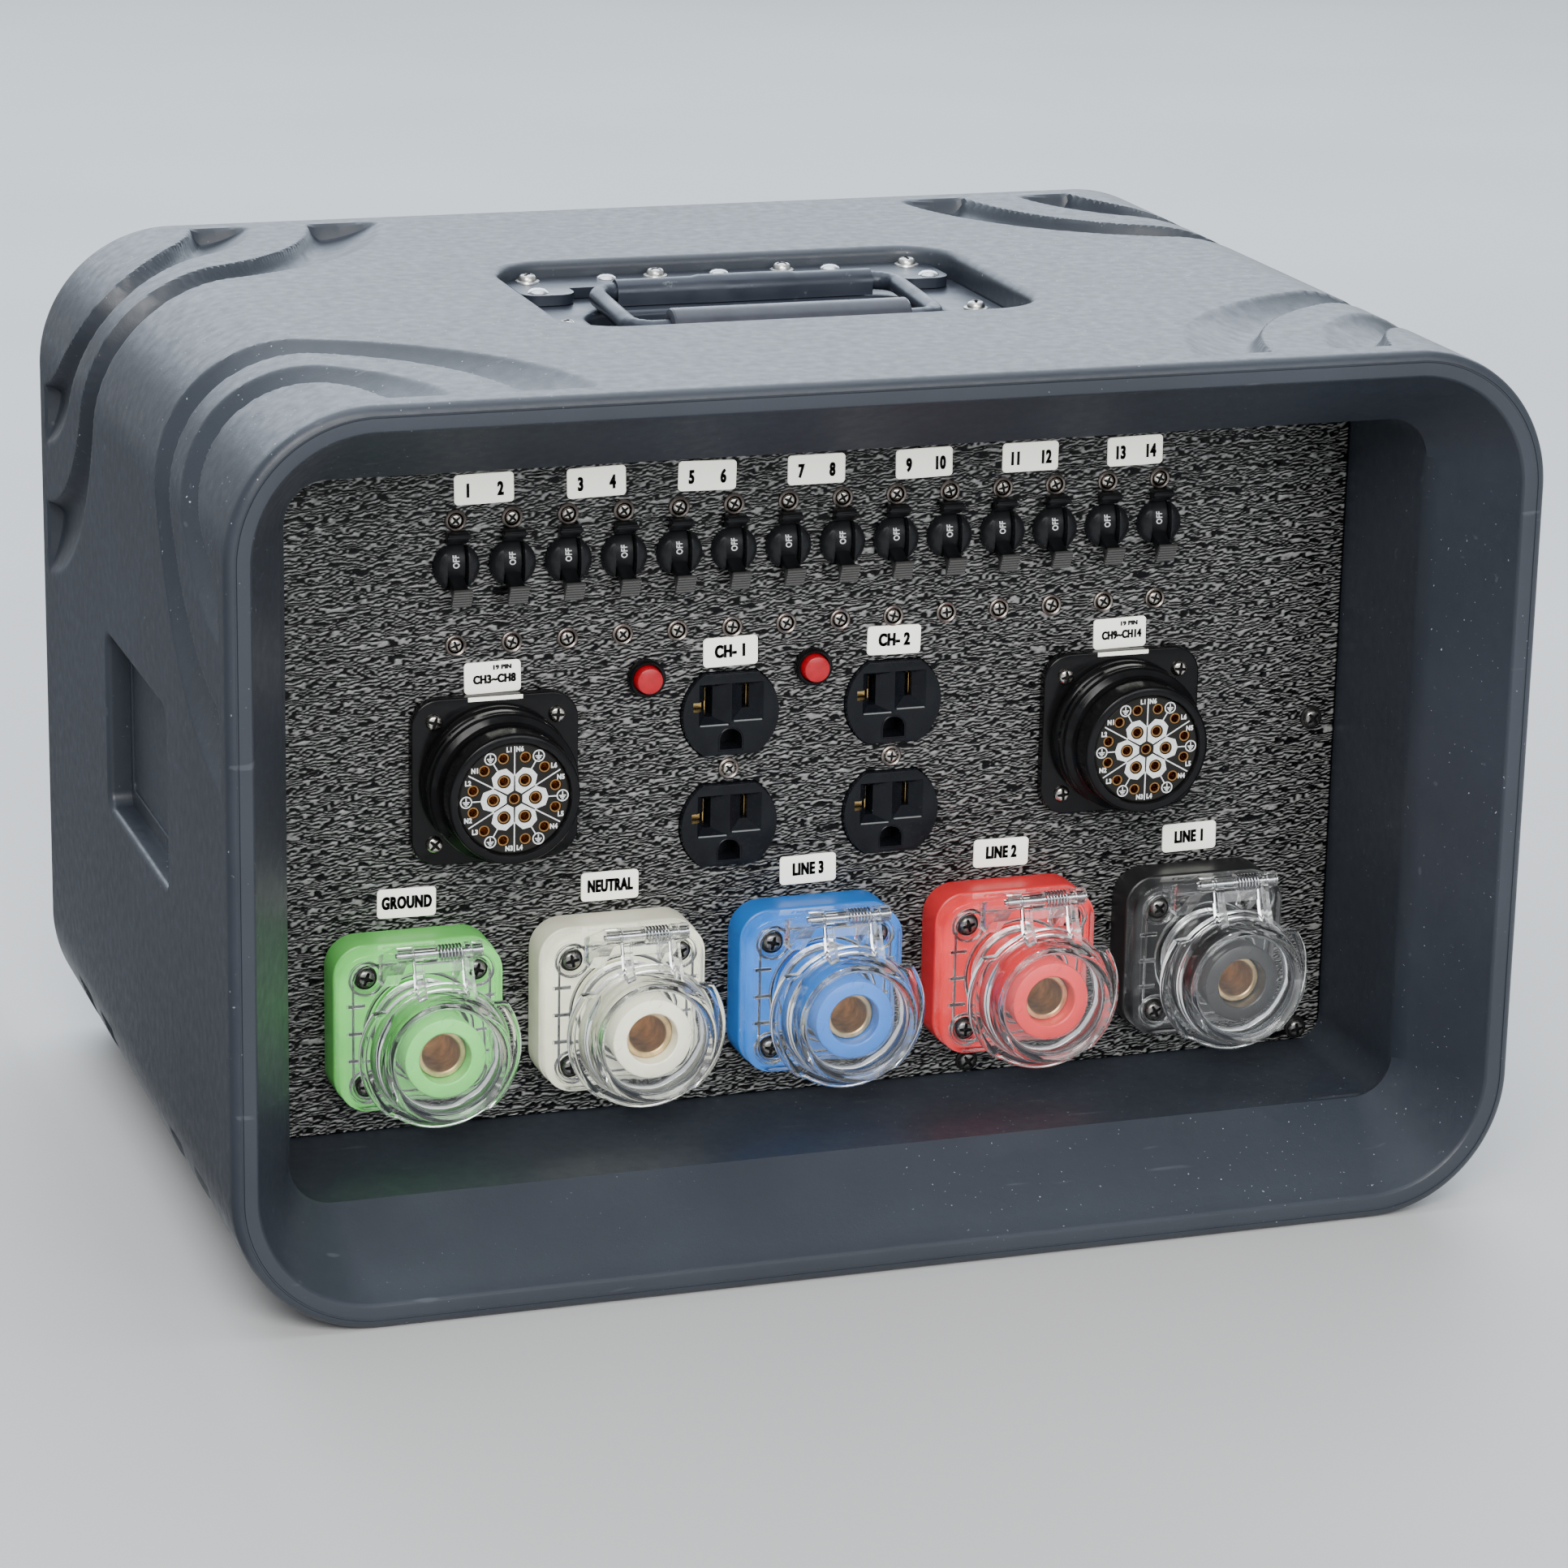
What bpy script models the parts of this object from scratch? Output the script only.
"""Portable power distribution box: a moulded case with a front panel of breakers and sockets.

Units are metres, +Z is up and the box faces -Y. The origin is the bottom centre of the case.
Depths are measured back from the front rim. Devices on the front panel are modelled about a local
origin on the panel's face, where -Y is towards the user.
"""

import math

import bmesh
import bpy
from mathutils import Vector

MM = 0.001

# Case
CASE_WIDTH = 442 * MM
CASE_HEIGHT = 300.5 * MM
CASE_DEPTH = 307 * MM
CASE_CORNER = 48 * MM
SKIN = 8 * MM
LINER_HALF_WIDTH = 194.5 * MM
LINER_HALF_HEIGHT = 119.75 * MM
LINER_WALL = 5 * MM
FLARE_DEPTH = 39 * MM
LEDGE = 16 * MM
GAP = 0.3 * MM
CORNER_STEPS = 6

# Grooves across the long edges. Flanks: half lengths along the girth of the outer and inner flank,
# then their depths behind the rim.
GROOVE_FLANKS = (
    (112 * MM, 86 * MM, 108 * MM, 89 * MM),
    (65 * MM, 44 * MM, 73 * MM, 55 * MM),
)
GROOVE_START = 13 * MM
GROOVE_DROP = 6 * MM
GROOVE_LIFT = 4 * MM
GROOVE_SIDES = 6
LOWER_GROOVE_END = 26 * MM
FLAT_STEPS = 3
LEAST_TURN = 0.06

# Name plate recesses in the sides
SIDE_RECESS_FRONT = 93 * MM
SIDE_RECESS_BACK = 191 * MM
SIDE_RECESS_LOW = 122 * MM
SIDE_RECESS_HIGH = 183 * MM
SIDE_RECESS_DROP = 8 * MM
SIDE_RECESS_CORNER = 5 * MM
TUB_WALL = 6 * MM
CUT_PAST = 5.5 * MM

# Front panel
PANEL_DEPTH = 95 * MM
PANEL_THICKNESS = 2.3 * MM
LEDGE_DEPTH = PANEL_DEPTH + PANEL_THICKNESS + GAP
LEDGE_THICKNESS = 4 * MM

# Rear panel
REAR_RECESS = 16 * MM
REAR_HALF_WIDTH = 204 * MM
REAR_HALF_HEIGHT = 133 * MM

# Breakers
BREAKER_COUNT = 14
BREAKER_PITCH = 19.05 * MM
BREAKER_Z = 224.3 * MM
BREAKER_SCREW_Z = (197.4 * MM, 239.5 * MM)
BREAKER_BOTTOM = 191 * MM
BREAKER_TOP = 246 * MM
BREAKER_FRONT = PANEL_DEPTH + 4 * MM
BREAKER_BACK = PANEL_DEPTH + 64 * MM
BEZEL_RADIUS = 8.5 * MM
BEZEL_STEPS = 12
TOGGLE_WIDTH = 6.6 * MM
TOGGLE_PIVOT_DEPTH = PANEL_DEPTH + 9 * MM
TOGGLE_REACH = 20.6 * MM
TOGGLE_REST = math.radians(27)

# Sockets
CAM_PITCH = 70.3 * MM
CAM_Z = 73 * MM
CAM_HINGE_PROUD = 42 * MM
CAM_HINGE_RISE = 33.5 * MM
CAM_PIN_RADIUS = 1.2 * MM
CAM_KNUCKLE_RADIUS = 2.2 * MM
CAM_BASE_HALF = 28.2 * MM
CAM_BASE_PROUD = 13 * MM
CAM_FRAME_HALF = 27.8 * MM
CAM_FRAME_PROUD = 20.5 * MM
CAM_NOSE_RADIUS = 13.85 * MM
CAM_NOSE_PROUD = 50.5 * MM
CAM_BARREL_RADIUS = 19 * MM
CAM_LID_PROUD = 54.6 * MM
CAM_STEPS = 14
MULTIPIN_X = 111.3 * MM
MULTIPIN_Z = 152 * MM
MULTIPIN_STEPS = 20
OUTLET_X = 29 * MM
OUTLET_Z = 148.2 * MM
OUTLET_HALF_SPACING = 19.45 * MM
LAMPS_X = (-58.6 * MM, 0.0)
LAMP_Z = 182 * MM

# Carrying handle
RECESS_HALF_LENGTH = 83 * MM
RECESS_FRONT = 100 * MM
RECESS_BACK = 209 * MM
RECESS_CORNER = 20 * MM
PLATE_DROP = 9.3 * MM
PLATE_THICKNESS = 1.5 * MM
WELL_DROP = 19.5 * MM
WELL = (62 * MM, 105 * MM, 165 * MM, 12 * MM)  # half length, front, back, corner
BAIL_PIVOT_DEPTH = 176 * MM
BAIL_PIVOT_DROP = 4.8 * MM
BAIL_RADIUS = 3.2 * MM
BAIL_HALF_LENGTH = 54 * MM
BAIL_REACH = 50 * MM
BAIL_DROOP = 3 * MM
GRIP_RADIUS = 7 * MM
GRIP_HALF_LENGTH = 42 * MM

HALF_WIDTH = CASE_WIDTH / 2
HALF_HEIGHT = CASE_HEIGHT / 2
BREAKER_X = [(i - (BREAKER_COUNT - 1) / 2) * BREAKER_PITCH for i in range(BREAKER_COUNT)]
CAM_X = [(i - 2) * CAM_PITCH for i in range(5)]
PANEL_SCREWS = [(x, z) for x in (-185 * MM, 185 * MM) for z in (35.3 * MM, 150.25 * MM, 265.2 * MM)]
PANEL_SCREWS += [(x, z) for x in (-60 * MM, 60 * MM) for z in (35.3 * MM, 265.2 * MM)]


def clear_scene():
    for item in list(bpy.data.objects):
        bpy.data.objects.remove(item, do_unlink=True)


def at_depth(depth):
    """World y of a depth behind the front rim."""
    return depth - CASE_DEPTH / 2


# Materials


def material(name, colour, roughness, metallic=0.0, transmission=0.0):
    made = bpy.data.materials.new(name)
    made.use_nodes = True
    shader = made.node_tree.nodes["Principled BSDF"]
    shader.inputs["Base Color"].default_value = (*colour, 1.0)
    shader.inputs["Roughness"].default_value = roughness
    shader.inputs["Metallic"].default_value = metallic
    shader.inputs["Transmission Weight"].default_value = transmission
    made.diffuse_color = (*colour, 1.0)
    return made


# Outlines, as lists of two-dimensional points


def circle(radius, steps, turn=0.0):
    angles = [2 * math.pi * (i + turn) / steps for i in range(steps)]
    return [(radius * math.cos(a), radius * math.sin(a)) for a in angles]


def arc(centre, radius, start, end, steps):
    angles = [math.radians(start + (end - start) * i / steps) for i in range(steps + 1)]
    return [(centre[0] + radius * math.cos(a), centre[1] + radius * math.sin(a)) for a in angles]


def rounded_rectangle(half_width, half_height, corner, steps=3):
    points = []
    for start, sign_x, sign_y in ((0, 1, 1), (90, -1, 1), (180, -1, -1), (270, 1, -1)):
        centre = (sign_x * (half_width - corner), sign_y * (half_height - corner))
        points += arc(centre, corner, start, start + 90, steps)
    return points


def moved(outline, dx, dy):
    return [(x + dx, y + dy) for x, y in outline]


def rectangle(low_x, low_y, high_x, high_y):
    return [(low_x, low_y), (high_x, low_y), (high_x, high_y), (low_x, high_y)]


# Solids, as pairs of points and faces


def loft(rings, looped=False):
    """Skin over rings of equal length, with flat caps, or closed end to end when looped."""
    count = len(rings[0])
    points = [point for ring in rings for point in ring]
    faces = []
    for i in range(len(rings) if looped else len(rings) - 1):
        first = i * count
        second = (i + 1) % len(rings) * count
        for j in range(count):
            k = (j + 1) % count
            faces.append((first + j, first + k, second + k, second + j))
    if not looped:
        faces.append(tuple(range(count)))
        faces.append(tuple(range((len(rings) - 1) * count, len(rings) * count)))
    return points, faces


def plate_y(outline, near, far):
    """Prism of an x, z outline between two values of y."""
    return loft([[(x, y, z) for x, z in outline] for y in (near, far)])


def plate_x(outline, low, high):
    """Prism of a y, z outline between two values of x."""
    return loft([[(x, y, z) for y, z in outline] for x in (low, high)])


def plate_z(outline, low, high):
    """Prism of an x, y outline between two values of z."""
    return loft([[(x, y, z) for x, y in outline] for z in (low, high)])


def turned(profile, steps, centre=(0.0, 0.0), looped=False, turn=0.0):
    """Solid turned about the y direction from (radius, y) points."""
    rings = []
    for radius, y in profile:
        rings.append([(x, y, z) for x, z in moved(circle(radius, steps, turn), *centre)])
    return loft(rings, looped)


def group(solids):
    """Several solids in one mesh, for cutters whose members stay apart."""
    points, faces = [], []
    for solid_points, solid_faces in solids:
        start = len(points)
        points += solid_points
        faces += [tuple(start + i for i in face) for face in solid_faces]
    return points, faces


# Objects


def build(name, solid, finish=None, location=(0.0, 0.0, 0.0)):
    mesh = bpy.data.meshes.new(name)
    mesh.from_pydata(solid[0], [], solid[1])
    editor = bmesh.new()
    editor.from_mesh(mesh)
    bmesh.ops.recalc_face_normals(editor, faces=editor.faces)
    editor.to_mesh(mesh)
    editor.free()
    made = bpy.data.objects.new(name, mesh)
    made.location = location
    bpy.context.scene.collection.objects.link(made)
    if finish:
        mesh.materials.append(finish)
    return made


def combine(base, solid, operation):
    """Boolean of a helper solid, given in the base's own coordinates."""
    helper = build(base.name + "_" + operation.lower(), solid)
    helper.location = base.location
    helper.hide_render = True
    helper.display_type = "WIRE"
    modifier = base.modifiers.new(operation, "BOOLEAN")
    modifier.object = helper
    modifier.operation = operation
    return helper


def bake(base):
    """Make the modifiers' result the object's own mesh, and remove the helpers."""
    helpers = [modifier.object for modifier in base.modifiers]
    bpy.context.view_layer.update()
    graph = bpy.context.evaluated_depsgraph_get()
    mesh = bpy.data.meshes.new_from_object(base.evaluated_get(graph))
    base.modifiers.clear()
    base.data = mesh
    for helper in helpers:
        bpy.data.objects.remove(helper, do_unlink=True)
    return base


def shaped(name, solid, finish, add=(), cut=(), location=(0.0, 0.0, 0.0)):
    """One closed body: the solid, plus the added solids, less the cut ones."""
    base = build(name, solid, finish, location)
    for extra in add:
        combine(base, extra, "UNION")
    for extra in cut:
        combine(base, extra, "DIFFERENCE")
    if base.modifiers:
        bake(base)
    smooth(base)
    return base


def copy_of(source, name, location, finish=None):
    """Another object on the same mesh, with its own finish when one is given."""
    made = bpy.data.objects.new(name, source.data)
    made.location = location
    bpy.context.scene.collection.objects.link(made)
    if finish:
        made.material_slots[0].link = "OBJECT"
        made.material_slots[0].material = finish
    return made


def smooth(made):
    made.data.shade_smooth()
    made.data.set_sharp_from_angle(angle=math.radians(35))


# Case


def case_sections():
    """Rounded rectangles round the wall of the case: half width, half height, corner, depth."""
    back = CASE_DEPTH
    outer = (HALF_WIDTH, HALF_HEIGHT, CASE_CORNER)

    def inset(distance):
        return (outer[0] - distance, outer[1] - distance, outer[2] - distance)

    liner = (LINER_HALF_WIDTH, LINER_HALF_HEIGHT)
    ledge = (LINER_HALF_WIDTH - LEDGE, LINER_HALF_HEIGHT - LEDGE, 3 * MM)
    liner_back = (LINER_HALF_WIDTH + LINER_WALL, LINER_HALF_HEIGHT + LINER_WALL, 15 * MM)
    rear_seat = (REAR_HALF_WIDTH, REAR_HALF_HEIGHT, 31 * MM)
    rear_ledge = (REAR_HALF_WIDTH - 14 * MM, REAR_HALF_HEIGHT - 14 * MM, 17 * MM)
    return [
        (*outer, 3.5 * MM),
        (*inset(1.2 * MM), 0.9 * MM),
        (*inset(3 * MM), 0.0),
        (*inset(7.5 * MM), 0.0),
        (*inset(8.6 * MM), 1 * MM),
        (*liner, 13 * MM, FLARE_DEPTH),
        (*liner, 10 * MM, LEDGE_DEPTH),
        (*ledge, LEDGE_DEPTH),
        (*ledge, LEDGE_DEPTH + LEDGE_THICKNESS),
        (*liner_back, LEDGE_DEPTH + LEDGE_THICKNESS),
        (*liner_back, FLARE_DEPTH + SKIN),
        (*inset(10 * MM), 21 * MM),
        (*inset(SKIN), 25 * MM),
        (*inset(SKIN), back - REAR_RECESS - GAP - 4 * MM),
        (*rear_ledge, back - REAR_RECESS - GAP - 4 * MM),
        (*rear_ledge, back - REAR_RECESS - GAP),
        (*rear_seat, back - REAR_RECESS - GAP),
        (*inset(8.6 * MM), back - 1 * MM),
        (*inset(7.5 * MM), back),
        (*inset(3 * MM), back),
        (*inset(1.2 * MM), back - 0.9 * MM),
        (*outer, back - 3.5 * MM),
    ]


def case_wall():
    rings = []
    for half_width, half_height, corner, depth in case_sections():
        outline = rounded_rectangle(half_width, half_height, corner, CORNER_STEPS)
        rings.append([(x, at_depth(depth), z + HALF_HEIGHT) for x, z in outline])
    return loft(rings, looped=True)


def on_skin(along, side, top):
    """Point, outward normal and girth direction on the case's skin.

    along is the distance round the girth from the middle of a corner, positive towards the side.
    side and top are 1 or -1 and choose the corner.
    """
    quarter = CASE_CORNER * math.pi / 4
    angle = math.pi / 4 - max(-quarter, min(quarter, along)) / CASE_CORNER
    past = along - max(-quarter, min(quarter, along))
    normal = Vector((math.cos(angle), 0.0, math.sin(angle)))
    girth = Vector((math.sin(angle), 0.0, -math.cos(angle)))
    centre = Vector((HALF_WIDTH - CASE_CORNER, 0.0, HALF_HEIGHT - CASE_CORNER))
    point = centre + normal * CASE_CORNER + girth * past
    flip = Vector((side, 1.0, top))
    point = point * flip + Vector((0.0, 0.0, HALF_HEIGHT))
    return point, normal * flip, girth * flip


def groove_angles(half_along, first, last):
    """Stops along a groove's centre line: one at each facet of the corner, a few on the flats."""
    quarter = CASE_CORNER * math.pi / 4
    stops = [quarter * (1 - 2 * i / CORNER_STEPS) for i in range(CORNER_STEPS + 1)]
    corner = [math.acos(stop / half_along) for stop in stops]
    before = [first]
    if first < corner[0]:
        before = [first + (corner[0] - first) * i / FLAT_STEPS for i in range(FLAT_STEPS)]
    after = [corner[-1] + (last - corner[-1]) * i / FLAT_STEPS for i in range(1, FLAT_STEPS + 1)]
    return before + [t for t in corner if t > first + LEAST_TURN] + after


def groove(flanks, side, top, rear):
    """Cutter for one arched groove that crosses a long edge of the case.

    Its centre line is half an ellipse about the point where the edge meets the rim.
    """
    far_along, near_along, far_depth, near_depth = flanks
    half_along = (far_along + near_along) / 2
    half_depth = (far_depth + near_depth) / 2
    start = math.asin(GROOVE_START / half_depth)
    first = start if top > 0 else math.acos(LOWER_GROOVE_END / half_along)
    last = math.pi - start
    rings = []
    for t in groove_angles(half_along, first, last):
        point, normal, girth = on_skin(half_along * math.cos(t), side, top)
        depth = half_depth * math.sin(t)
        tangent = Vector((-half_along * math.sin(t), half_depth * math.cos(t))).normalized()
        width = (far_along - near_along) * math.cos(t) ** 2 + (far_depth - near_depth) * math.sin(t) ** 2
        back = Vector((0.0, -1.0 if rear else 1.0, 0.0))
        across = girth * tangent.y - back * tangent.x
        point.y = at_depth(CASE_DEPTH - depth if rear else depth)
        ring = []
        for u, v in circle(1.0, GROOVE_SIDES):
            rise = (GROOVE_LIFT if v > 0 else GROOVE_DROP) * v / math.sin(math.pi / 3)
            ring.append(tuple(point + across * width / 2 * u + normal * rise))
        rings.append(ring)
    return loft(rings)


def grooves():
    corners = [(side, top, rear) for side in (-1, 1) for top in (-1, 1) for rear in (False, True)]
    return group([groove(flanks, *corner) for flanks in GROOVE_FLANKS for corner in corners])


def handle_outline(half_length, front, back, corner, margin=0.0):
    """Rounded x, y outline between two depths, grown by a margin."""
    middle = (at_depth(front) + at_depth(back)) / 2
    half_depth = (back - front) / 2
    outline = rounded_rectangle(half_length + margin, half_depth + margin, corner + margin)
    return moved(outline, 0.0, middle)


def side_recess(side, margin, outside, inside):
    """Block that fills the recess in one side, grown by a margin."""
    middle = at_depth((SIDE_RECESS_FRONT + SIDE_RECESS_BACK) / 2)
    half_y = (SIDE_RECESS_BACK - SIDE_RECESS_FRONT) / 2 + margin
    half_z = (SIDE_RECESS_HIGH - SIDE_RECESS_LOW) / 2 + margin
    outline = rounded_rectangle(half_y, half_z, SIDE_RECESS_CORNER + margin / 2)
    outline = moved(outline, middle, (SIDE_RECESS_LOW + SIDE_RECESS_HIGH) / 2)
    return plate_x(outline, side * outside, side * inside)


def case_shell(finish):
    top = CASE_HEIGHT
    recess = (RECESS_HALF_LENGTH, RECESS_FRONT, RECESS_BACK, RECESS_CORNER)
    well_clearance = 1 * MM
    tub = handle_outline(*recess, margin=TUB_WALL)
    pocket = handle_outline(*recess)
    well = handle_outline(*WELL, margin=PLATE_THICKNESS + well_clearance)
    pocket_floor = top - PLATE_DROP - PLATE_THICKNESS - GAP
    well_floor = top - WELL_DROP - PLATE_THICKNESS - GAP
    tubs = [plate_z(tub, well_floor - 4.5 * MM, top - 2 * MM)]
    pockets = [plate_z(pocket, pocket_floor, top + CUT_PAST)]
    wells = [plate_z(well, well_floor, pocket_floor + 1 * MM)]
    for side in (-1, 1):
        floor = HALF_WIDTH - SIDE_RECESS_DROP
        tubs.append(side_recess(side, TUB_WALL, HALF_WIDTH - 2 * MM, floor - TUB_WALL))
        pockets.append(side_recess(side, 0.0, HALF_WIDTH + CUT_PAST, floor))
    holes = []
    for x, z in PANEL_SCREWS:
        hole = moved(circle(2.6 * MM, 4), x, z)
        holes.append(plate_y(hole, at_depth(PANEL_DEPTH), at_depth(LEDGE_DEPTH + 2 * LEDGE_THICKNESS)))
    return shaped(
        "case_shell",
        case_wall(),
        finish,
        add=[group(tubs)],
        cut=[group(pockets), group(wells), grooves(), group(holes)],
    )


# Panels


def outlet_outline(radius, half_height):
    """Circle with its top and bottom cut flat."""
    flat = math.degrees(math.asin(half_height / radius))
    return arc((0, 0), radius, -flat, flat, 5) + arc((0, 0), radius, 180 - flat, 180 + flat, 5)


def front_panel(finish):
    near = at_depth(PANEL_DEPTH)
    far = near + PANEL_THICKNESS
    outline = rounded_rectangle(LINER_HALF_WIDTH - GAP, LINER_HALF_HEIGHT - GAP, 9.7 * MM)
    sheet = plate_y(moved(outline, 0.0, HALF_HEIGHT), near, far)
    through = (near - 1 * MM, far + 1 * MM)
    holes = [moved(circle(BEZEL_RADIUS + GAP, BEZEL_STEPS), x, BREAKER_Z) for x in BREAKER_X]
    holes += [moved(circle(2.1 * MM, 4), x, z) for x in BREAKER_X for z in BREAKER_SCREW_Z]
    holes += [moved(circle(2.6 * MM, 4), x, z) for x, z in PANEL_SCREWS]
    holes += [moved(circle(20.2 * MM, 12), x, CAM_Z) for x in CAM_X]
    holes += [moved(circle(23 * MM, 18), side * MULTIPIN_X, MULTIPIN_Z) for side in (-1, 1)]
    holes += [moved(circle(4.8 * MM, 8), x, LAMP_Z) for x in LAMPS_X]
    for side in (-1, 1):
        for rise in (-OUTLET_HALF_SPACING, OUTLET_HALF_SPACING):
            outline = outlet_outline(17.4 * MM, 14.6 * MM)
            holes.append(moved(outline, side * OUTLET_X, OUTLET_Z + rise))
    cutter = group([plate_y(hole, *through) for hole in holes])
    return shaped("front_panel", sheet, finish, cut=[cutter])


def rear_panel(finish):
    """Plain service cover on the rear ledge, with a row of ventilation slots."""
    outline = rounded_rectangle(REAR_HALF_WIDTH - 1 * MM, REAR_HALF_HEIGHT - 1 * MM, 30 * MM, steps=6)
    near = at_depth(CASE_DEPTH - REAR_RECESS)
    far = near + 2 * MM
    sheet = plate_y(moved(outline, 0.0, HALF_HEIGHT), near, far)
    slot = rounded_rectangle(2.5 * MM, 22 * MM, 2 * MM, steps=1)
    slots = []
    for i in range(7):
        centre = ((i - 3) * 14 * MM, HALF_HEIGHT + 60 * MM)
        slots.append(plate_y(moved(slot, *centre), near - 1 * MM, far + 1 * MM))
    return shaped("rear_panel", sheet, finish, cut=[group(slots)])


def screw(x, z, head_radius, near, seat, tip, shank_radius):
    """Pan head from near to seat, and a shank to tip, all values of y."""
    profile = [
        (head_radius * 0.75, near),
        (head_radius, seat),
        (shank_radius, seat),
        (shank_radius, tip),
    ]
    return turned(profile, 5, (x, z))


def panel_screws(finish):
    """The front panel's screws, held behind the ledge by one thin nut frame."""
    seat = at_depth(PANEL_DEPTH) - GAP
    frame_near = at_depth(LEDGE_DEPTH + LEDGE_THICKNESS) + GAP
    frame_far = frame_near + 1.5 * MM
    outer = rounded_rectangle(189 * MM, 119 * MM, 4 * MM, steps=2)
    inner = rounded_rectangle(181.5 * MM, 111.5 * MM, 3 * MM, steps=2)
    rings = []
    for outline, y in ((outer, frame_near), (outer, frame_far), (inner, frame_far), (inner, frame_near)):
        rings.append([(x, y, z + HALF_HEIGHT) for x, z in outline])
    screws = []
    for x, z in PANEL_SCREWS:
        screws.append(screw(x, z, 4.3 * MM, seat - 2.4 * MM, seat, frame_near + 0.8 * MM, 1.6 * MM))
    return shaped("panel_screws", loft(rings, looped=True), finish, add=[group(screws)])


# Breakers


def comb_outline():
    """Outline of the bank of breakers, notched where one module meets the next."""
    half = BREAKER_COUNT * BREAKER_PITCH / 2
    notch = 0.5 * MM
    drop = 1.5 * MM
    outline = [(half, BREAKER_BOTTOM), (half, BREAKER_TOP)]
    outline += [(-half, BREAKER_TOP), (-half, BREAKER_BOTTOM)]
    for i in range(1, BREAKER_COUNT):
        x = -half + i * BREAKER_PITCH
        for dx, dz in ((-notch, 0.0), (0.0, drop), (notch, 0.0)):
            outline.append((x + dx, BREAKER_BOTTOM + dz))
    return outline


def breaker_bank(finish):
    body = plate_y(comb_outline(), at_depth(BREAKER_FRONT), at_depth(BREAKER_BACK))
    bezels, slots = [], []
    face = at_depth(PANEL_DEPTH)
    inside = at_depth(BREAKER_FRONT) + 2 * MM
    profile = [
        (BEZEL_RADIUS - 1.5 * MM, face - 3.5 * MM),
        (BEZEL_RADIUS, face - 1.5 * MM),
        (BEZEL_RADIUS, inside),
    ]
    half = TOGGLE_WIDTH / 2 + 0.4 * MM
    for x in BREAKER_X:
        bezels.append(turned(profile, BEZEL_STEPS, (x, BREAKER_Z)))
        slot = rectangle(x - half, BREAKER_Z - 12 * MM, x + half, BREAKER_Z + 12 * MM)
        slots.append(plate_y(slot, face - 9 * MM, at_depth(TOGGLE_PIVOT_DEPTH) + 12 * MM))
    return shaped("breaker_bank", body, finish, add=[group(bezels)], cut=[group(slots)])


def toggle_outline():
    """Side view of a toggle about its pivot: a round drum and a lever with a flared end.

    The first value is y and the second is z. The lever points down and to the front.
    """
    drum = 10.5 * MM
    neck = 1.6 * MM
    neck_end = 15.5 * MM
    flare = 2.9 * MM
    direction = Vector((-math.cos(TOGGLE_REST), -math.sin(TOGGLE_REST)))
    across = Vector((-direction.y, direction.x))
    middle = math.degrees(math.atan2(direction.y, direction.x))
    half_neck = math.degrees(math.asin(neck / drum))
    outline = arc((0, 0), drum, middle + half_neck, middle + 360 - half_neck, 10)
    lever = ((neck_end, -neck), (TOGGLE_REACH, -flare), (TOGGLE_REACH, flare), (neck_end, neck))
    for reach, half in lever:
        outline.append(tuple(direction * reach + across * half))
    return outline


def breaker_toggles(finish):
    """Toggles at rest in the off position, each on its own pivot."""
    first = None
    for number, x in enumerate(BREAKER_X, start=1):
        name = f"breaker_toggle_{number:02d}"
        location = (x, at_depth(TOGGLE_PIVOT_DEPTH), BREAKER_Z)
        if first is None:
            solid = plate_x(toggle_outline(), -TOGGLE_WIDTH / 2, TOGGLE_WIDTH / 2)
            first = shaped(name, solid, finish, location=location)
        else:
            copy_of(first, name, location)


def breaker_screws(finish):
    """The breakers' screws, joined behind the panel by one thin mounting frame."""
    face = at_depth(PANEL_DEPTH)
    near = face + PANEL_THICKNESS + GAP
    far = near + 1 * MM
    half = BREAKER_COUNT * BREAKER_PITCH / 2 + 6 * MM
    low, high = BREAKER_SCREW_Z
    band = 3 * MM
    outer = rectangle(-half, low - band, half, high + band)
    inner = rectangle(-half + 2 * band, low + band, half - 2 * band, high - band)
    rings = []
    for outline, y in ((outer, near), (outer, far), (inner, far), (inner, near)):
        rings.append([(x, y, z) for x, z in outline])
    screws = []
    for x in BREAKER_X:
        for z in BREAKER_SCREW_Z:
            screws.append(screw(x, z, 3.2 * MM, face - 2 * MM, face - GAP, near + 0.5 * MM, 1.4 * MM))
    return shaped("breaker_screws", loft(rings, looped=True), finish, add=[group(screws)])


# Single pole cam sockets, in coordinates about the panel's face: y = -(distance proud of the panel)


def cam_base():
    """Coloured insulator: a square base, a round nose in front and a barrel behind, bored through."""
    square = rounded_rectangle(CAM_BASE_HALF, CAM_BASE_HALF, 10.5 * MM)
    bore = 8.8 * MM
    nose = [
        (bore, -CAM_NOSE_PROUD),
        (CAM_NOSE_RADIUS - 0.7 * MM, -CAM_NOSE_PROUD),
        (CAM_NOSE_RADIUS, -CAM_NOSE_PROUD + 0.7 * MM),
        (CAM_NOSE_RADIUS, -10 * MM),
        (CAM_BARREL_RADIUS, -8 * MM),
        (CAM_BARREL_RADIUS, 30 * MM),
        (bore, 30 * MM),
    ]
    barrel = turned(nose, CAM_STEPS, looped=True)
    hole = turned([(bore + 2 * MM, -20 * MM), (bore + 2 * MM, 5 * MM)], CAM_STEPS)
    return plate_y(square, -CAM_BASE_PROUD, -GAP), barrel, hole


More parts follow.
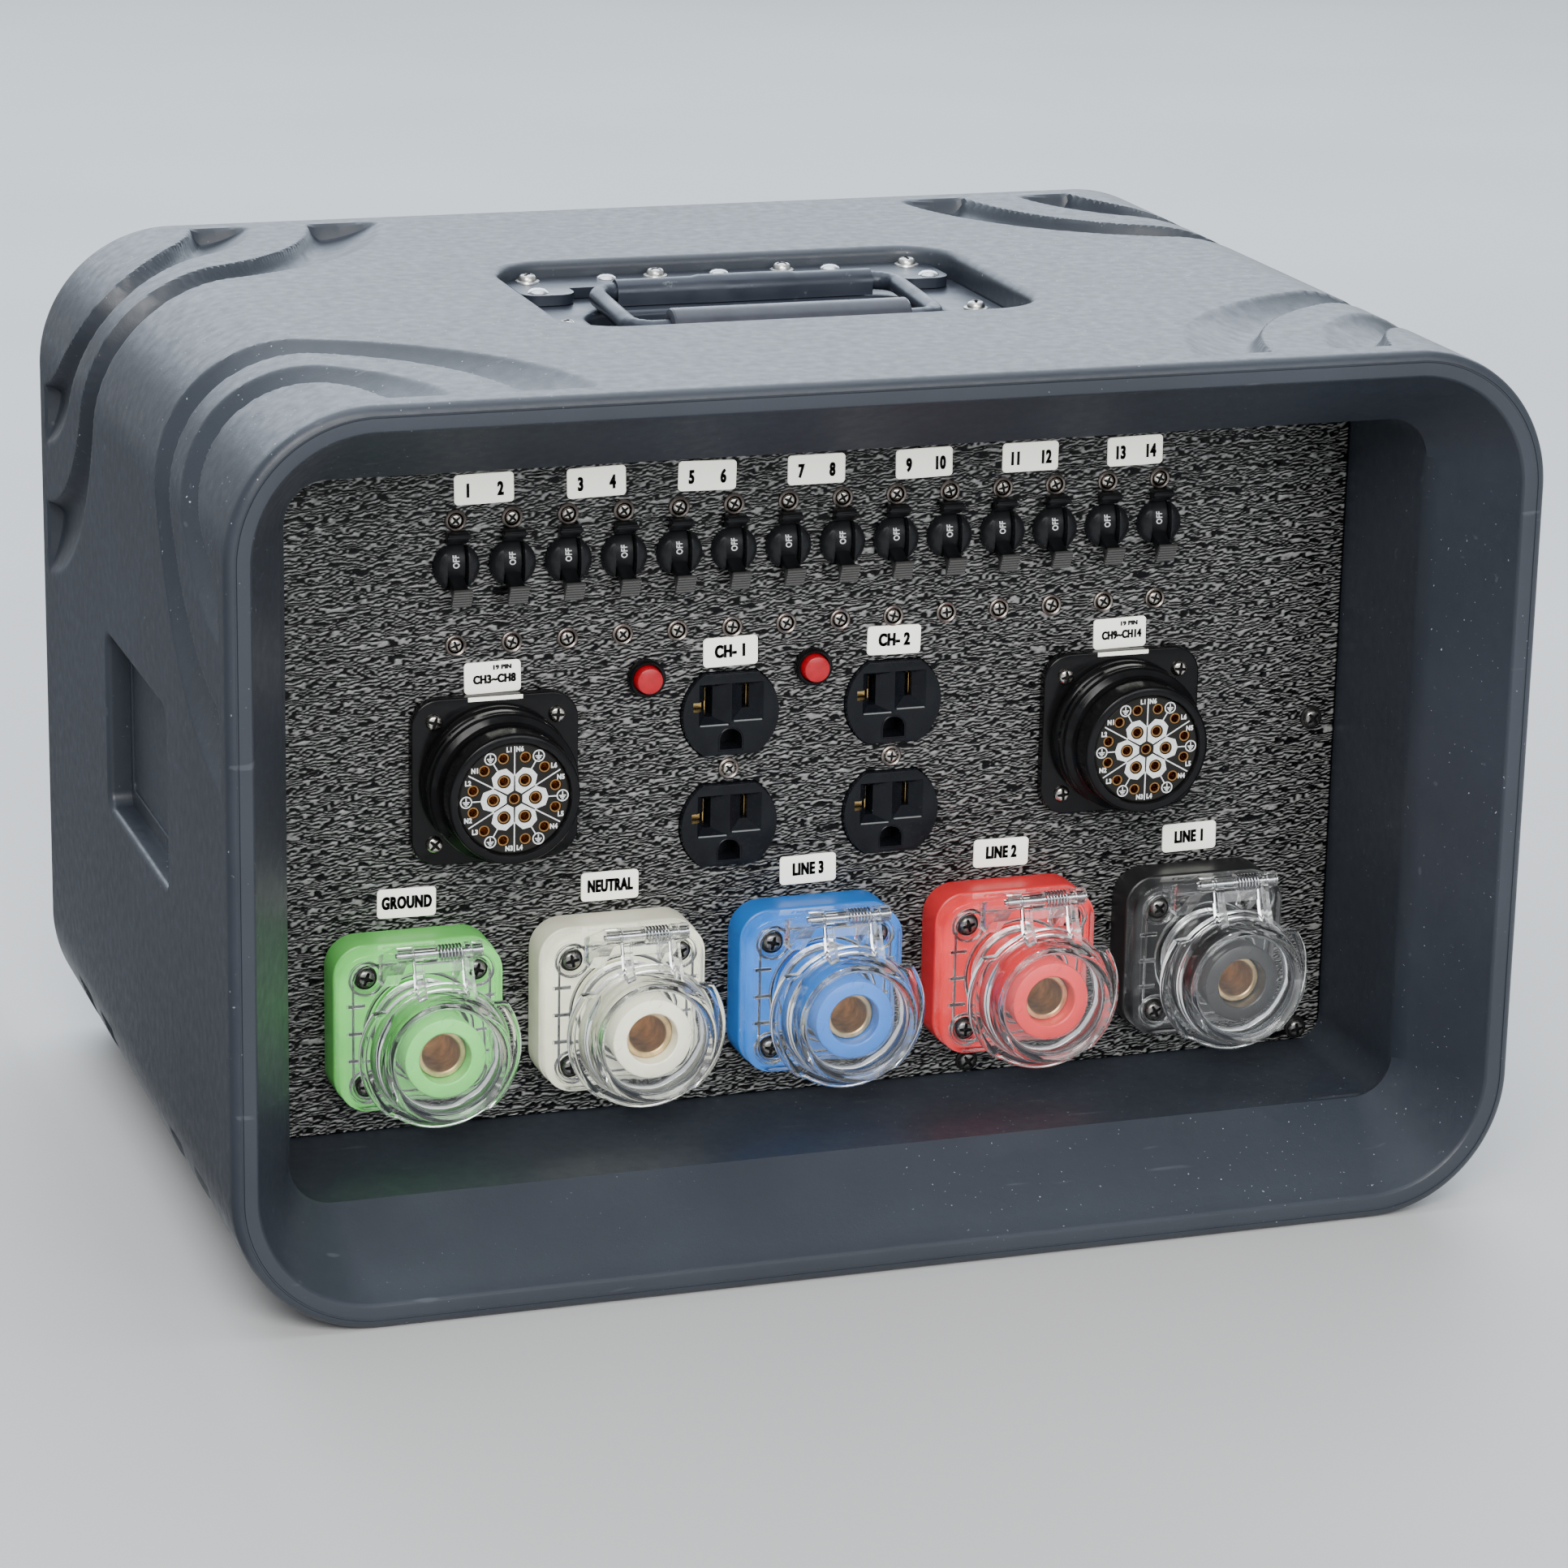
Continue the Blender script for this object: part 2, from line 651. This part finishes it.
def cam_frame():
    """Clear cover frame with two ramped brackets that carry the lid's hinge."""
    square = rounded_rectangle(CAM_FRAME_HALF, CAM_FRAME_HALF, 10.1 * MM)
    sheet = plate_y(square, -CAM_FRAME_PROUD, -CAM_BASE_PROUD - GAP)
    around_nose = CAM_NOSE_RADIUS + 1.35 * MM
    hole = turned([(around_nose, -22 * MM), (around_nose, -12 * MM)], CAM_STEPS)
    bracket = [
        (-18 * MM, 17 * MM),
        (-18 * MM, 26 * MM),
        (-CAM_HINGE_PROUD + 2 * MM, CAM_HINGE_RISE + 1.8 * MM),
        (-CAM_HINGE_PROUD - 2 * MM, CAM_HINGE_RISE),
        (-CAM_HINGE_PROUD, CAM_HINGE_RISE - 2 * MM),
        (-35 * MM, 29 * MM),
        (-24 * MM, 17 * MM),
    ]
    brackets = group([plate_x(bracket, side * 11 * MM, side * 14.5 * MM) for side in (-1, 1)])
    return sheet, brackets, hole


def pin_hole(half_length, outer):
    """Bar along x at the hinge axis."""
    outline = moved(circle(outer, 8), -CAM_HINGE_PROUD, CAM_HINGE_RISE)
    return plate_x(outline, -half_length, half_length)


def flange_reach(x, z):
    """Radius of the lid's flange: two side lobes, a plain bottom, and almost none under the hinge."""
    height = z / math.hypot(x, z)
    if height > 0.6:
        return 23 * MM
    return 26.5 * MM if height < -0.8 else 28.5 * MM


def cam_lid():
    """Clear sprung lid: a cup over the nose, a lobed flange, and two arms up to the hinge."""
    inner, outer = 19.4 * MM, 21.6 * MM
    rim = -CAM_LID_PROUD + 12.6 * MM
    steps = 16
    rings = []
    for radius, y in ((inner, -CAM_LID_PROUD + 2 * MM), (inner, rim)):
        rings.append([(x, y, z) for x, z in circle(radius, steps)])
    lobed = []
    for x, z in circle(1.0, steps):
        reach = flange_reach(x, z)
        lobed.append((x * reach, z * reach))
    rings += [[(x, y, z) for x, z in lobed] for y in (rim, rim - 4 * MM)]
    for radius, y in ((outer, rim - 5 * MM), (outer - 0.4 * MM, -CAM_LID_PROUD)):
        rings.append([(x, y, z) for x, z in circle(radius, steps)])
    arm = moved(arc((0, 0), CAM_KNUCKLE_RADIUS, 0, 180, 4), -CAM_HINGE_PROUD, CAM_HINGE_RISE)
    arm += [(rim - 4.5 * MM, 19 * MM), (rim - 0.5 * MM, 19 * MM)]
    arms = group([plate_x(arm, side * 6.4 * MM, side * 10.2 * MM) for side in (-1, 1)])
    return loft(rings), arms


def relative_to_hinge(solid):
    """Shift a socket's solid so that its hinge axis is the origin."""
    points = [(x, y + CAM_HINGE_PROUD, z - CAM_HINGE_RISE) for x, y, z in solid[0]]
    return points, solid[1]


def cam_contact():
    """Brass contact: an open sleeve in the nose with a stud behind."""
    near = -CAM_NOSE_PROUD + 5.5 * MM
    return [
        (6.6 * MM, near),
        (8.5 * MM, near),
        (8.5 * MM, 33 * MM),
        (6.0 * MM, 52 * MM),
        (2.5 * MM, 52 * MM),
        (2.5 * MM, -8 * MM),
        (6.6 * MM, -8 * MM),
    ]


def cam_sockets(colours, clear, brass, steel):
    prototypes = {}
    hinge_bore = pin_hole(20 * MM, CAM_PIN_RADIUS * 1.08)
    for number, (x, colour) in enumerate(zip(CAM_X, colours), start=1):
        place = (x, at_depth(PANEL_DEPTH), CAM_Z)
        hinge = (x, place[1] - CAM_HINGE_PROUD, CAM_Z + CAM_HINGE_RISE)
        if not prototypes:
            square, barrel, hole = cam_base()
            relieved = shaped("cam_base_1", square, colour, cut=[hole], location=place)
            combine(relieved, barrel, "UNION")
            bake(relieved)
            smooth(relieved)
            prototypes["base"] = relieved
            sheet, brackets, frame_hole = cam_frame()
            cuts = [frame_hole, hinge_bore]
            prototypes["frame"] = shaped(
                "cam_cover_frame_1", sheet, clear, add=[brackets], cut=cuts, location=place
            )
            cup, arms = cam_lid()
            prototypes["lid"] = shaped(
                "cam_lid_1",
                relative_to_hinge(cup),
                clear,
                add=[relative_to_hinge(arms)],
                cut=[relative_to_hinge(hinge_bore)],
                location=hinge,
            )
            prototypes["contact"] = shaped(
                "cam_contact_1", turned(cam_contact(), CAM_STEPS, looped=True), brass, location=place
            )
            pin = plate_x(circle(CAM_PIN_RADIUS, 8), -15 * MM, 15 * MM)
            prototypes["pin"] = shaped("cam_hinge_pin_1", pin, steel, location=hinge)
            continue
        copy_of(prototypes["base"], f"cam_base_{number}", place, colour)
        copy_of(prototypes["frame"], f"cam_cover_frame_{number}", place)
        copy_of(prototypes["lid"], f"cam_lid_{number}", hinge)
        copy_of(prototypes["contact"], f"cam_contact_{number}", place)
        copy_of(prototypes["pin"], f"cam_hinge_pin_{number}", hinge)


# Multipin sockets, outlets and lamps


def multipin_sockets(shell_finish, insert_finish):
    flange_outline = rounded_rectangle(28.5 * MM, 28.5 * MM, 9 * MM)
    flange = plate_y(flange_outline, -4 * MM, -GAP)
    bore = 19.1 * MM
    barrel = turned(
        [
            (bore, -28.5 * MM),
            (22.3 * MM, -28.5 * MM),
            (22.3 * MM, -17 * MM),
            (25.6 * MM, -16 * MM),
            (26.0 * MM, -3 * MM),
            (22.3 * MM, -3 * MM),
            (22.3 * MM, 20 * MM),
            (bore, 20 * MM),
        ],
        MULTIPIN_STEPS,
        looped=True,
    )
    hole = turned([(bore + 1.5 * MM, -6 * MM), (bore + 1.5 * MM, 2 * MM)], MULTIPIN_STEPS)
    core = turned([(18.8 * MM, -27.5 * MM), (18.8 * MM, 18 * MM)], MULTIPIN_STEPS)
    places = [(0.0, 0.0)] + circle(7.1 * MM, 6) + circle(14.4 * MM, 12, 0.5)
    pit = [(1.6 * MM, -29 * MM), (1.6 * MM, -20 * MM)]
    contacts = [turned(pit, 5, place) for place in places]
    for number, side in enumerate((-1, 1), start=1):
        place = (side * MULTIPIN_X, at_depth(PANEL_DEPTH), MULTIPIN_Z)
        if number == 1:
            shell = shaped("multipin_shell_1", flange, shell_finish, cut=[hole], location=place)
            combine(shell, barrel, "UNION")
            bake(shell)
            smooth(shell)
            pits = group(contacts)
            insert = shaped("multipin_insert_1", core, insert_finish, cut=[pits], location=place)
        else:
            copy_of(shell, "multipin_shell_2", place)
            copy_of(insert, "multipin_insert_2", place)


def outlet_slots(rise):
    """Openings of one outlet face: a sideways T, a straight slot and an earth hole."""
    tee = [
        (-8.3, 5.6), (-8.3, 2.6), (-11.2, 2.6), (-11.2, 0.6), (-8.3, 0.6),
        (-8.3, -2.4), (-5.9, -2.4), (-5.9, 5.6),
    ]
    straight = rectangle(5.9, -1.8, 8.1, 5.0)
    earth = arc((0, -8.2), 2.6, 0, 180, 6) + [(-2.6, -10.4), (2.6, -10.4)]
    solids = []
    for outline in (tee, straight, earth):
        scaled = [(x * MM, z * MM + rise) for x, z in outline]
        solids.append(plate_y(scaled, -3 * MM, 7 * MM))
    return solids


def duplex_outlets(finish):
    body_outline = rounded_rectangle(16.5 * MM, 34 * MM, 3 * MM, steps=2)
    body = plate_y(body_outline, PANEL_THICKNESS + GAP, 27 * MM)
    faces, slots = [], []
    for rise in (-OUTLET_HALF_SPACING, OUTLET_HALF_SPACING):
        outline = moved(outlet_outline(17.05 * MM, 14.3 * MM), 0.0, rise)
        faces.append(plate_y(outline, -2 * MM, 6 * MM))
        slots += outlet_slots(rise)
    first = None
    for number, side in enumerate((-1, 1), start=1):
        place = (side * OUTLET_X, at_depth(PANEL_DEPTH), OUTLET_Z)
        if first is None:
            first = shaped(
                "duplex_outlet_1", body, finish, add=[group(faces)], cut=[group(slots)], location=place
            )
        else:
            copy_of(first, f"duplex_outlet_{number}", place)


def pilot_lamps(finish):
    profile = [
        (4.3 * MM, -6 * MM),
        (4.6 * MM, -3 * MM),
        (6.2 * MM, -2.6 * MM),
        (6.5 * MM, -GAP),
        (4.1 * MM, -GAP),
        (4.1 * MM, 22 * MM),
    ]
    first = None
    for number, x in enumerate(LAMPS_X, start=1):
        place = (x, at_depth(PANEL_DEPTH), LAMP_Z)
        if first is None:
            first = shaped("pilot_lamp_1", turned(profile, 10), finish, location=place)
        else:
            copy_of(first, f"pilot_lamp_{number}", place)


# Carrying handle


def handle_plate(finish):
    """Pressed steel pan: a flat border with a well for the fingers."""
    top = CASE_HEIGHT - PLATE_DROP
    floor = CASE_HEIGHT - WELL_DROP
    border = handle_outline(RECESS_HALF_LENGTH, RECESS_FRONT, RECESS_BACK, RECESS_CORNER, -0.5 * MM)
    mouth = handle_outline(*WELL)
    grown = handle_outline(*WELL, margin=PLATE_THICKNESS)
    levels = (
        (mouth, floor),
        (mouth, top),
        (border, top),
        (border, top - PLATE_THICKNESS),
        (grown, top - PLATE_THICKNESS),
        (grown, floor - PLATE_THICKNESS),
    )
    rings = [[(x, y, z) for x, y in outline] for outline, z in levels]
    return shaped("handle_plate", loft(rings), finish)


def handle_strap(finish):
    """Hinge strap folded over the bail's rear bar and riveted to the plate."""
    base = CASE_HEIGHT - PLATE_DROP + GAP
    axis = (at_depth(BAIL_PIVOT_DEPTH), CASE_HEIGHT - BAIL_PIVOT_DROP)
    inner = BAIL_RADIUS + 0.25 * MM
    outer = inner + 1.2 * MM
    thick = 1.2 * MM
    start = at_depth(RECESS_BACK - 9 * MM)
    front = axis[0] - outer
    profile = [(start, base), (start, base + thick), (axis[0] + outer, base + thick)]
    profile += arc(axis, outer, 0, 180, 8)
    profile += [(front, base), (front + (outer - inner), base)]
    profile += arc(axis, inner, 180, 0, 8)
    profile += [(axis[0] + inner, base)]
    half = 46 * MM
    barrel = plate_x(profile, -half, half)
    wing = rounded_rectangle(9.5 * MM, 14.5 * MM, 6 * MM, steps=2)
    wings = []
    for side in (-1, 1):
        outline = moved(wing, side * 68 * MM, at_depth(RECESS_BACK - 22.5 * MM))
        wings.append(plate_z(outline, base, base + thick))
    tie = rectangle(-64 * MM, at_depth(RECESS_BACK - 20 * MM), 64 * MM, at_depth(RECESS_BACK - 9 * MM))
    bridge = plate_z(tie, base, base + thick)
    return shaped("handle_strap", barrel, finish, add=[bridge, group(wings)])


def bail_outline(corner=6 * MM, steps=4):
    """Closed centre line of the bail about its pivot: x and distance forward."""
    outline = rounded_rectangle(BAIL_HALF_LENGTH, BAIL_REACH / 2, corner, steps)
    return moved(outline, 0.0, BAIL_REACH / 2)


def handle_bail(finish, pivot):
    """Round rod bent to a closed loop, whose rear bar is the hinge pin."""
    slope = BAIL_DROOP / BAIL_REACH
    path = [Vector((x, -forward, -forward * slope)) for x, forward in bail_outline()]
    rings = []
    for i, point in enumerate(path):
        ahead = (path[(i + 1) % len(path)] - point).normalized()
        behind = (point - path[i - 1]).normalized()
        along = (ahead + behind).normalized()
        up = Vector((0.0, -slope, 1.0)).normalized()
        side = along.cross(up).normalized()
        up = side.cross(along)
        ring = [tuple(point + side * u + up * v) for u, v in circle(BAIL_RADIUS, 8, 0.5)]
        rings.append(ring)
    return shaped("handle_bail", loft(rings, looped=True), finish, location=pivot)


def handle_grip(finish, pivot):
    """Soft sleeve on the bail's front bar."""
    centre = (-BAIL_REACH, -BAIL_DROOP)
    inner = BAIL_RADIUS + GAP
    rings = []
    for radius, x in (
        (inner, -GRIP_HALF_LENGTH),
        (GRIP_RADIUS - 1 * MM, -GRIP_HALF_LENGTH),
        (GRIP_RADIUS, -GRIP_HALF_LENGTH + 1.5 * MM),
        (GRIP_RADIUS, GRIP_HALF_LENGTH - 1.5 * MM),
        (GRIP_RADIUS - 1 * MM, GRIP_HALF_LENGTH),
        (inner, GRIP_HALF_LENGTH),
    ):
        rings.append([(x, y, z) for y, z in moved(circle(radius, 12), *centre)])
    return shaped("handle_grip", loft(rings, looped=True), finish, location=pivot)


# Inside


def line_busbar(finish):
    """Copper comb that feeds every breaker from behind."""
    half = BREAKER_COUNT * BREAKER_PITCH / 2 - 4 * MM
    low = BREAKER_BOTTOM + 8 * MM
    tooth = 4 * MM
    outline = [(-half, low + 12 * MM), (-half, low)]
    for x in BREAKER_X:
        outline += [(x - tooth, low), (x - tooth, low - 12 * MM)]
        outline += [(x + tooth, low - 12 * MM), (x + tooth, low)]
    outline += [(half, low), (half, low + 12 * MM)]
    near = at_depth(BREAKER_BACK) + GAP
    return shaped("line_busbar", plate_y(outline, near, near + 3 * MM), finish)


def terminal_bar(name, finish, z, holes):
    """Drilled terminal bar on two feet that stand on the rear panel."""
    back = at_depth(CASE_DEPTH - REAR_RECESS) - GAP
    near = back - 30 * MM
    half = 80 * MM
    bar = plate_y(rectangle(-half, z - 6 * MM, half, z + 6 * MM), near, near + 10 * MM)
    feet = []
    for side in (-1, 1):
        foot = rectangle(side * (half - 10 * MM), z - 5 * MM, side * (half - 2 * MM), z + 5 * MM)
        feet.append(plate_y(foot, near + 5 * MM, back))
    drilled = []
    for i in range(holes):
        x = (i - (holes - 1) / 2) * 14 * MM
        drilled.append(plate_y(moved(circle(2.6 * MM, 6), x, z), near - 1 * MM, near + 12 * MM))
    return shaped(name, bar, finish, add=[group(feet)], cut=[group(drilled)])


def build_box():
    clear_scene()
    polyethylene = material("case_polyethylene", (0.035, 0.04, 0.05), 0.5)
    wrinkled_black = material("panel_wrinkle_black", (0.012, 0.012, 0.013), 0.3)
    black_steel = material("black_steel", (0.02, 0.02, 0.022), 0.4, metallic=0.6)
    black_plastic = material("black_plastic", (0.015, 0.015, 0.016), 0.4)
    insert_black = material("insert_black", (0.02, 0.02, 0.02), 0.45)
    nickel = material("nickel", (0.6, 0.57, 0.52), 0.25, metallic=1.0)
    steel = material("steel", (0.65, 0.66, 0.68), 0.25, metallic=1.0)
    brass = material("brass", (0.75, 0.5, 0.18), 0.25, metallic=1.0)
    copper = material("copper", (0.75, 0.36, 0.2), 0.3, metallic=1.0)
    clear = material("clear_polycarbonate", (0.9, 0.93, 0.95), 0.08, transmission=0.9)
    red_lens = material("red_lens", (0.7, 0.01, 0.02), 0.2)
    grip_rubber = material("grip_rubber", (0.03, 0.035, 0.05), 0.45)
    cam_colours = [
        material("insulator_green", (0.05, 0.5, 0.08), 0.35),
        material("insulator_white", (0.75, 0.72, 0.66), 0.35),
        material("insulator_blue", (0.01, 0.1, 0.5), 0.35),
        material("insulator_red", (0.7, 0.015, 0.03), 0.35),
        material("insulator_black", (0.015, 0.015, 0.015), 0.35),
    ]

    case_shell(polyethylene)
    front_panel(wrinkled_black)
    rear_panel(black_steel)
    panel_screws(nickel)
    breaker_bank(black_plastic)
    breaker_toggles(black_plastic)
    breaker_screws(nickel)
    cam_sockets(cam_colours, clear, brass, steel)
    multipin_sockets(black_steel, insert_black)
    duplex_outlets(black_plastic)
    pilot_lamps(red_lens)
    pivot = (0.0, at_depth(BAIL_PIVOT_DEPTH), CASE_HEIGHT - BAIL_PIVOT_DROP)
    handle_plate(black_steel)
    handle_strap(black_steel)
    handle_bail(black_steel, pivot)
    handle_grip(grip_rubber, pivot)
    line_busbar(copper)
    terminal_bar("neutral_bar", brass, 150 * MM, 9)
    terminal_bar("ground_bar", copper, 90 * MM, 9)


build_box()
